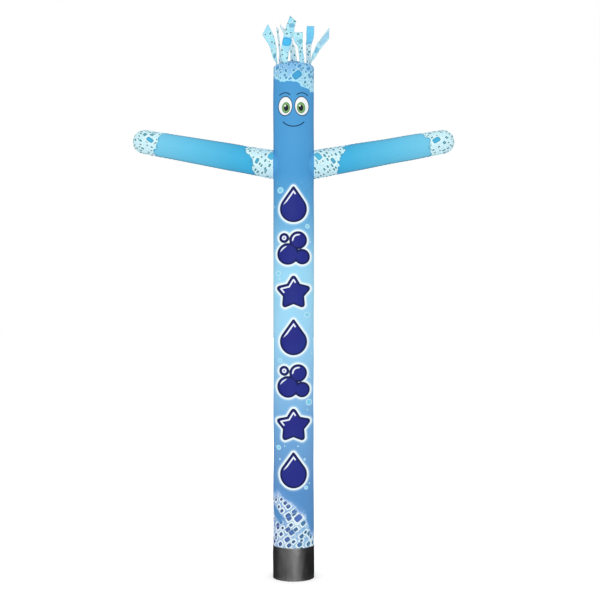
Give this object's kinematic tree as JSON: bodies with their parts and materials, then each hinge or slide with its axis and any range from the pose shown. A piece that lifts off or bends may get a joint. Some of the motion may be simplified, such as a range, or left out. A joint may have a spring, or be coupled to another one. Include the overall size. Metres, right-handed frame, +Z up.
{
  "type": "inflatable air dancer",
  "caption": "Tall inflatable tube figure with two raised arms, loose top streamers and a black base sleeve that slips over a fan outlet.",
  "frame": {"origin": "middle of the base sleeve's hem, on the ground", "axes": "+Z up the tube, +X out along the arm on the viewer's right, the printed front towards -Y"},
  "size_m": [3.622, 0.4638, 6.3025],
  "materials": {
    "tube_cloth": "thin coated ripstop nylon, printed, satin",
    "arm_cloth": "thin coated ripstop nylon, printed, satin",
    "streamer_cloth": "thin ripstop nylon, printed, satin",
    "base_cloth": "heavier coated black cloth, semi-gloss"
  },
  "bodies": {
    "root": {"trunk": "tube_cloth", "crown": "tube_cloth", "base_sleeve": "base_cloth", "arm_left_front": "arm_cloth", "arm_left_back": "arm_cloth", "arm_right_front": "arm_cloth", "arm_right_back": "arm_cloth", "streamer_1": "streamer_cloth", "streamer_2": "streamer_cloth", "streamer_3": "streamer_cloth", "streamer_4": "streamer_cloth", "streamer_5": "streamer_cloth", "streamer_6": "streamer_cloth", "streamer_7": "streamer_cloth"}
  },
  "joints": []
}
